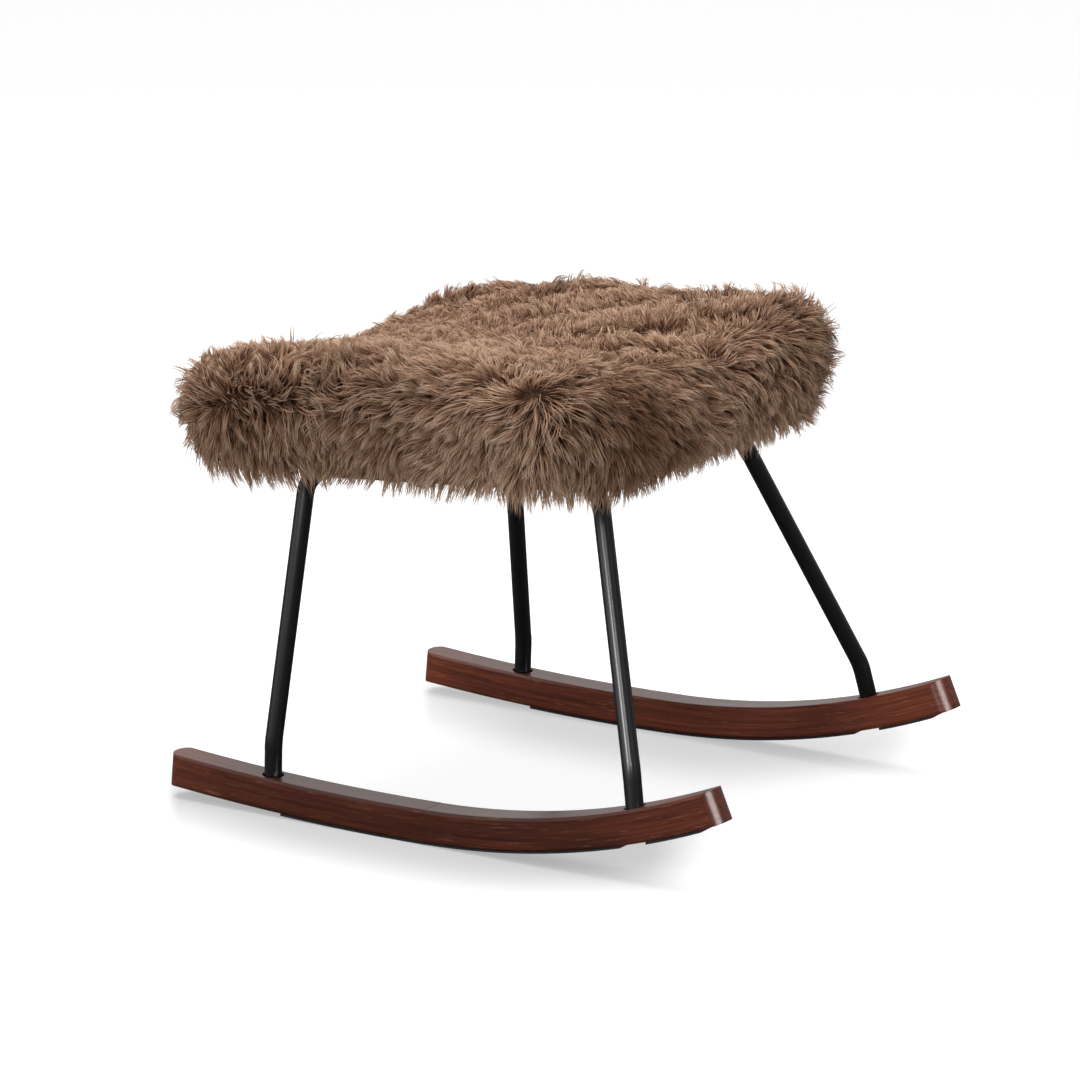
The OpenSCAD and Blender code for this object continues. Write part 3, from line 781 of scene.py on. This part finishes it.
def strandMesh(rng, name, layer, lines, normals, tone):
    # closed three-sided hairs: rings of three and a tip, in one mesh
    count = len(lines)
    rings = len(layer["parts"])
    points = 3 * rings + 1
    before = np.maximum(np.arange(rings) - 1, 0)
    along = unit(lines[:, 1 : rings + 1] - lines[:, before])
    side = unit(np.cross(along, normals[:, None, :]))
    up = np.cross(along, side)
    start = rng.uniform(0, 2 * math.pi, (count, 1))
    corners = []
    for corner in range(3):
        angle = start + corner * 2 * math.pi / 3
        around = side * np.cos(angle)[:, :, None] + up * np.sin(angle)[:, :, None]
        corners.append(lines[:, :rings] + around * np.array(layer["width"])[None, :, None])
    around = np.stack(corners, 2).reshape(count, 3 * rings, 3)
    vertices = np.concatenate([around, lines[:, rings:]], 1)

    # its faces, and the map: across, a narrow column by tone; up, from root to tip
    pattern, sizes, wide = [], [], []
    for k in range(rings - 1):
        for j in range(3):
            pattern += [3 * k + j, 3 * k + (j + 1) % 3, 3 * k + 3 + (j + 1) % 3, 3 * k + 3 + j]
            sizes.append(4)
            wide += [j, j + 1, j + 1, j]
    for j in range(3):
        pattern += [3 * rings - 3 + j, 3 * rings - 3 + (j + 1) % 3, 3 * rings]
        sizes.append(3)
        wide += [j, j + 1, j + 0.5]
    pattern = np.array(pattern + [2, 1, 0])
    sizes = np.array(sizes + [3])
    wide = np.array(wide + [3, 1.5, 0])
    rise = np.concatenate([[0.0], np.cumsum(layer["parts"])])
    high = rise[pattern // 3]
    high[-3:] = [0.0, furLook["rootCap"], 0.0]
    column = np.floor(tone * furLook["tones"])[:, None]
    edge, end = furLook["columnMargin"], furLook["mapMargin"]
    uv = np.empty((count, len(pattern), 2))
    uv[:, :, 0] = (column + edge + (1 - 2 * edge) * wide[None, :] / 3) / furLook["tones"]
    uv[:, :, 1] = end + (1 - 2 * end) * layer["reach"] * high[None, :]

    mesh = bpy.data.meshes.new(name)
    mesh.vertices.add(count * points)
    mesh.vertices.foreach_set("co", vertices.ravel())
    loops = (np.arange(count)[:, None] * points + pattern).ravel()
    mesh.loops.add(len(loops))
    mesh.loops.foreach_set("vertex_index", loops)
    mesh.polygons.add(count * len(sizes))
    starts = np.concatenate([[0], np.cumsum(np.tile(sizes, count))[:-1]])
    mesh.polygons.foreach_set("loop_start", starts)
    mesh.update(calc_edges=True)
    mesh.polygons.foreach_set("use_smooth", np.ones(len(mesh.polygons), bool))
    mesh.uv_layers.new(name="OFBake").uv.foreach_set("vector", uv.ravel())
    mesh.validate()
    return addPiece(name, mesh)


def furPanels(roots, normals):
    # which panel each strand belongs to: six on the top, one on each side
    low, high = roots.min(0), roots.max(0)
    place = (roots - low) / (high - low)
    third = np.minimum((place[:, 0] * 3).astype(int), 2)
    half = (place[:, 1] > 0.5).astype(int)
    names = [f"top_{end}_{side}" for end in ("heel", "middle", "toe") for side in ("right", "left")]
    names += ["side_right", "side_left", "end_heel", "end_toe"]
    lean = place[:, :2] * 2 - 1
    across = np.abs(lean[:, 1]) > np.abs(lean[:, 0])
    sides = np.where(across, 6 + (lean[:, 1] > 0), 8 + (lean[:, 0] > 0))
    return names, np.where(normals[:, 2] > furLook["topPanelLevel"], third * 2 + half, sides)


def makeFur():
    pile, under = makeFurMaterials()
    skin = makeFurSkin(under)
    print("fur skin made:", len(skin.data.polygons), "faces")
    cover = findCover(skin)
    for number, (kind, layer) in enumerate(furLook["layers"].items()):
        rng = np.random.default_rng(furLook["seed"] + number)
        roots, normals, lines, tone = growLayer(rng, layer, cover)
        names, panel = furPanels(roots, normals)
        for index, name in enumerate(names):
            mine = panel == index
            piece = strandMesh(rng, f"{kind}_{name}", layer, lines[mine], normals[mine], tone[mine])
            finishPiece(piece, pile)
        print(kind, "grown:", layer["strands"], "strands, panels of", np.bincount(panel).tolist())


makeFur()


# underside: a thin cloth over the open middle, stapled to the board through the hem, and the foam inside
clothLook = {
    "size": (0.384, 0.374),
    "corner": 0.046,
    "seatPlace": (-0.06268, 0.0, 0.316),
    "seatTilt": 2.0,  # degrees up to the toe
    "height": 0.0186,  # of its upper face, in the seat's frame
    "thickness": 0.0007,
    "holes": 0.0123,  # radius
    "cutterDepth": 0.02,
    "cornerPoints": 13,
    "steps": (30, 12),  # points along a quarter of the edge, rings to the middle
    "seed": 5,
    "creases": 0.0005,
    "creaseSize": 0.03,
    "hang": 2.4,  # below the board, in creases
    "edgeFade": 6,  # how sharply the hang fades at the edge
    "smoothAngle": 40.0,
    "staples": 26,
    "stapleInset": 0.007,
    "stapleSize": (0.010, 0.0004, 0.006),  # length, half the wire's thickness, depth of the legs
}


def onSeat(places):
    # from the seat's frame to the part's
    angle = math.radians(clothLook["seatTilt"])
    x, y, z = np.asarray(places, float).T
    turned = [x * math.cos(angle) - z * math.sin(angle), y, x * math.sin(angle) + z * math.cos(angle)]
    return np.stack(turned, 1) + clothLook["seatPlace"]


def clothEdge(count, inset=0.0):
    # points at even steps round the cloth's outline, and the way along it at each
    half = np.array(clothLook["size"]) / 2 - clothLook["corner"]
    radius = clothLook["corner"] - inset
    line = []
    for quarter, (right, up) in enumerate(((1, 1), (-1, 1), (-1, -1), (1, -1))):
        for angle in np.radians(90 * quarter + np.linspace(0, 90, clothLook["cornerPoints"])):
            line.append((right * half[0] + radius * math.cos(angle), up * half[1] + radius * math.sin(angle)))
    line = np.array(line + line[:1])
    gone = np.concatenate([[0], np.cumsum(np.linalg.norm(np.diff(line, axis=0), axis=1))])
    spots = np.linspace(0, gone[-1], count, endpoint=False)
    points = np.stack([np.interp(spots, gone, line[:, axis]) for axis in (0, 1)], 1)
    return points, unit(np.roll(points, -1, 0) - np.roll(points, 1, 0))


def spacerPlaces():
    # the middles of the four rubber spacers, seen in the seat's frame
    places = meshArrays(nodes["seat_spacers"])[0] - clothLook["seatPlace"]
    angle = math.radians(clothLook["seatTilt"])
    x = places[:, 0] * math.cos(angle) + places[:, 2] * math.sin(angle)
    middle = (x.min() + x.max()) / 2
    spots = []
    for ahead in (x > middle, x <= middle):
        for side in (places[:, 1] > 0, places[:, 1] <= 0):
            mine = ahead & side
            y = places[mine, 1]
            spots.append(((x[mine].min() + x[mine].max()) / 2, (y.min() + y.max()) / 2))
    return spots


def makeCloth():
    quarter, rings = clothLook["steps"]
    count = 4 * quarter
    edge, _ = clothEdge(count)
    flat = [edge * (1 - ring / rings) for ring in range(rings)]
    flat = np.concatenate([*flat, [[0.0, 0.0]]])
    rng = np.random.default_rng(clothLook["seed"])
    inside = 1 - (np.arange(len(flat)) // count) / rings
    sway = waves(rng, np.column_stack([flat, flat[:, 0] * 0]), clothLook["creaseSize"])
    hang = clothLook["creases"] * (sway - clothLook["hang"]) * (1 - inside ** clothLook["edgeFade"])
    places = onSeat(np.column_stack([flat, clothLook["height"] + hang]))
    faces = []
    for ring in range(rings - 1):
        for k in range(count):
            low, high = ring * count, (ring + 1) * count
            faces.append((low + k, low + (k + 1) % count, high + (k + 1) % count, high + k))
    low = (rings - 1) * count
    faces += [(low + k, low + (k + 1) % count, rings * count) for k in range(count)]
    mesh = bpy.data.meshes.new("dust_cloth_sheet")
    mesh.from_pydata(places.tolist(), [], faces)
    piece = addPiece("dust_cloth_sheet", mesh)
    applyModifier(piece, "SOLIDIFY", thickness=clothLook["thickness"], offset=-1.0)
    turn = (0, -math.radians(clothLook["seatTilt"]), 0)
    for spot in spacerPlaces():
        place = onSeat([(*spot, clothLook["height"])])[0]
        bpy.ops.object.select_all(action="DESELECT")
        bpy.ops.mesh.primitive_cylinder_add(
            radius=clothLook["holes"],
            depth=clothLook["cutterDepth"],
            location=place,
            rotation=turn,
        )
        cutter = bpy.context.active_object
        applyModifier(piece, "BOOLEAN", object=cutter, operation="DIFFERENCE", solver="EXACT")
        bpy.data.objects.remove(cutter)
    selectOnly(piece)
    bpy.ops.object.shade_smooth_by_angle(angle=math.radians(clothLook["smoothAngle"]))
    finishPiece(piece, cloth, ["dust_cloth"])
    cut = clothLook["size"][0] * clothLook["size"][1] - (4 - math.pi) * clothLook["corner"] ** 2
    cut -= 4 * math.pi * clothLook["holes"] ** 2


def makeStaples():
    # wire staples along the edge of the cloth: a crown and two legs that go up into the board
    long, thick, deep = clothLook["stapleSize"]
    edge, ways = clothEdge(clothLook["staples"], clothLook["stapleInset"])
    below = clothLook["height"] - clothLook["thickness"] - thick
    places, faces = [], []
    for spot, way in zip(edge, ways):
        out = np.array([way[1], -way[0]])
        path = [(-long / 2, deep), (-long / 2, 0.0), (long / 2, 0.0), (long / 2, deep)]
        for number, (step, rise) in enumerate(path):
            skew = thick if number in (1, 2) else 0.0
            for side, lean in ((-1, -1), (1, -1), (1, 1), (-1, 1)):
                along = step + (-1 if step < 0 else 1) * lean * -thick
                height = below + rise - (skew * -lean if skew else 0.0)
                at = spot + way * along + out * side * thick
                places.append((at[0], at[1], height))
        first = len(places) - 16
        for k in range(3):
            a, b = first + 4 * k, first + 4 * k + 4
            faces += [(a + j, a + (j + 1) % 4, b + (j + 1) % 4, b + j) for j in range(4)]
        faces += [tuple(first + j for j in (3, 2, 1, 0)), tuple(first + 12 + j for j in range(4))]
    mesh = bpy.data.meshes.new("cloth_staples")
    mesh.from_pydata(onSeat(places).tolist(), [], faces)
    piece = addPiece("cloth_staples", mesh)
    selectOnly(piece)
    bpy.ops.object.mode_set(mode="EDIT")
    bpy.ops.mesh.select_all(action="SELECT")
    bpy.ops.mesh.normals_make_consistent(inside=False)
    bpy.ops.object.mode_set(mode="OBJECT")
    finishPiece(piece, zinc)


def makeFoam():
    piece = softCopy("seat_foam", "foam_pad")
    finishPiece(piece, foam, ["seat_foam"])


makeStaples()
makeCloth()
makeFoam()
print("underside made")

# floor and light: a white floor that keeps the stool's shadow in a band under each rocker, where a lower glow
# adds painted shadow, three soft boxes, and lamps that each light a single piece
stageSetup = {
    "floorSide": 60.0,
    "floorColour": (0.82, 0.82, 0.82),
    "shineColour": (0.08, 0.08, 0.08),  # of the floor in what shines
    "seenColour": (0.45, 0.45, 0.45),
    "glowFar": 0.8,
    "glowNear": (0.39, 0.46),  # lower glow, a painted shadow, round the near rocker and the far one
    "bandTop": (-0.030, -0.012),  # metres below a rocker's edge, as the camera sees it
    "bandLow": (0.010, 0.060),
    "bandEnds": ((-0.305, -0.275), (0.215, 0.300)),
    "ambient": 0.38,
    # what shines sees a bright wall at the back on the left, and dark surroundings elsewhere
    "wallWay": (-0.52, 0.82, 0.25),
    "wallReach": (0.35, 0.85),
    "wallLevels": (0.22, 0.85),
    # name: place, aim, width and height, power in watts
    "lamps": {
        "top": ((-0.35, 0.1, 2.3), (0, 0, 0.2), (1.8, 1.8), 47.0),
        "left": ((-1.9, -2.1, 1.38), (0, 0, 0.3), (3.0, 3.0), 28.0),
        "right": ((2.4, -0.4, 1.3), (0, 0, 0.3), (1.2, 1.2), 3.0),
        "shine": ((2.45, -1.25, 0.75), (0.2, 0, 0.1), (1.8, 0.9), 80.0),
        "shineFar": ((0.53, 0.047, 0.155), (0.29, 0.21, 0.08), (0.2, 0.1), 1.0),
        "fillFar": ((0.1, -1.0, 0.25), (0.0, 0.21, 0.04), (0.9, 0.3), 6.2),
        "streakLeft": ((-0.021, -1.245, 0.68), (0.155, -0.17, 0.19), (0.14, 0.36), 9.0),
        "streakRight": ((0.563, -1.1, 0.83), (0.155, -0.17, 0.19), (0.1, 0.36), 4.5),
    },
    # lamps that light only these pieces
    "receivers": {
        "shine": ("rocker_right",),
        "shineFar": ("rocker_left",),
        "fillFar": ("rocker_left",),
        "streakLeft": ("leg_frame_right",),
        "streakRight": ("leg_frame_right",),
    },
    "highlightsOnly": ("shine", "shineFar", "streakLeft", "streakRight"),
}


def shadowBands(tree):
    # 1 on the floor just below a rocker's lower edge in the camera's view, 0 elsewhere; there the floor's
    # glow is lower, a painted shadow over the real shadow that it lets show
    eyeX, eyeY, eyeZ = cameraSetup["place"]
    place = splitAxes(tree, addNode(tree, "ShaderNodeTexCoord").outputs["Object"])
    bands = []
    for face in rockerLine["nearFaces"]:
        # the line of sight to the floor passes the rocker's side at this share of its length
        share = addMath(tree, "DIVIDE", face - eyeY, addMath(tree, "SUBTRACT", place["Y"], eyeY))
        reach = addMath(tree, "SUBTRACT", place["X"], eyeX)
        along = addMath(tree, "MULTIPLY_ADD", reach, share, eyeX)
        height = addMath(tree, "MULTIPLY_ADD", share, -eyeZ, eyeZ)
        edges = []
        for centre, radius in (rockerLine["heelArc"], rockerLine["toeArc"]):
            off = addMath(tree, "SUBTRACT", along, centre[0])
            drop = addMath(tree, "MULTIPLY_ADD", off, addMath(tree, "MULTIPLY", off, -1.0), radius**2)
            edges.append(addMath(tree, "SUBTRACT", centre[2], addMath(tree, "SQRT", drop)))
        past = addMath(tree, "GREATER_THAN", along, rockerLine["blend"])
        below = addMath(tree, "SUBTRACT", mixNumbers(tree, past, *edges), height)
        band = mapRange(tree, below, *stageSetup["bandTop"])
        band = addMath(tree, "MULTIPLY", band, mapRange(tree, below, *stageSetup["bandLow"], 1.0, 0.0))
        heelEnd, toeEnd = stageSetup["bandEnds"]
        band = addMath(tree, "MULTIPLY", band, mapRange(tree, along, *heelEnd))
        bands.append(addMath(tree, "MULTIPLY", band, mapRange(tree, along, *toeEnd, 1.0, 0.0)))
    return bands


def makeFloor():
    bpy.ops.object.select_all(action="DESELECT")
    bpy.ops.mesh.primitive_plane_add(size=stageSetup["floorSide"])
    floor = bpy.context.active_object
    floor.name = "floor"
    material = bpy.data.materials.new("white floor")
    material.use_nodes = True
    tree = material.node_tree
    tree.nodes.remove(tree.nodes["Principled BSDF"])
    path = addNode(tree, "ShaderNodeLightPath")
    shining = path.outputs["Is Glossy Ray"]
    colour = mixColours(tree, shining, stageSetup["floorColour"], stageSetup["shineColour"])
    plain = addNode(tree, "ShaderNodeBsdfDiffuse", {"Color": colour})
    seen = addNode(tree, "ShaderNodeBsdfDiffuse", {"Color": (*stageSetup["seenColour"], 1)})
    # in the bands under the rockers the glow drops: painted shadow, with the real shadow showing through
    strength = stageSetup["glowFar"]
    for band, level in zip(shadowBands(tree), stageSetup["glowNear"]):
        strength = mixNumbers(tree, band, strength, level)
    glow = addNode(tree, "ShaderNodeEmission", {"Strength": strength})
    both = addNode(tree, "ShaderNodeAddShader", {0: seen.outputs[0], 1: glow.outputs[0]})
    direct = addMath(tree, "MAXIMUM", path.outputs["Is Camera Ray"], path.outputs["Is Transmission Ray"])
    mix = addNode(tree, "ShaderNodeMixShader", {0: direct, 1: plain.outputs[0], 2: both.outputs[0]})
    tree.links.new(mix.outputs[0], tree.nodes["Material Output"].inputs["Surface"])
    floor.data.materials.append(material)


def makeWorld():
    world = bpy.data.worlds.new("studio")
    bpy.context.scene.world = world
    world.use_nodes = True
    tree = world.node_tree
    ground = tree.nodes["Background"]
    ground.inputs["Color"].default_value = (1, 1, 1, 1)
    path = addNode(tree, "ShaderNodeLightPath")
    direct = addMath(tree, "MAXIMUM", path.outputs["Is Camera Ray"], path.outputs["Is Transmission Ray"])
    plain = mixNumbers(tree, direct, stageSetup["ambient"], 1.0)
    way = addNode(tree, "ShaderNodeTexCoord").outputs["Generated"]
    inputs = {0: way, 1: stageSetup["wallWay"]}
    toWall = addNode(tree, "ShaderNodeVectorMath", inputs, operation="DOT_PRODUCT")
    shining = mapRange(tree, toWall.outputs["Value"], *stageSetup["wallReach"], *stageSetup["wallLevels"])
    strength = mixNumbers(tree, path.outputs["Is Glossy Ray"], plain, shining)
    tree.links.new(strength, ground.inputs["Strength"])


def makeLamps():
    for name, (place, aim, size, power) in stageSetup["lamps"].items():
        data = bpy.data.lights.new(name, "AREA")
        data.energy = power
        data.shape = "RECTANGLE"
        data.size, data.size_y = size
        lamp = bpy.data.objects.new(name, data)
        lamp.location = place
        lamp.visible_camera = False
        lamp.visible_diffuse = name not in stageSetup["highlightsOnly"]
        if name in stageSetup["receivers"]:
            lamp.light_linking.receiver_collection = bpy.data.collections.new(name)
            for node in stageSetup["receivers"][name]:
                lamp.light_linking.receiver_collection.objects.link(nodes[node])
        lamp.rotation_euler = (Vector(place) - Vector(aim)).to_track_quat("Z", "Y").to_euler()
        bpy.context.scene.collection.objects.link(lamp)


makeFloor()
makeWorld()
makeLamps()
bpy.context.scene.view_settings.view_transform = "Standard"
print("stage made")
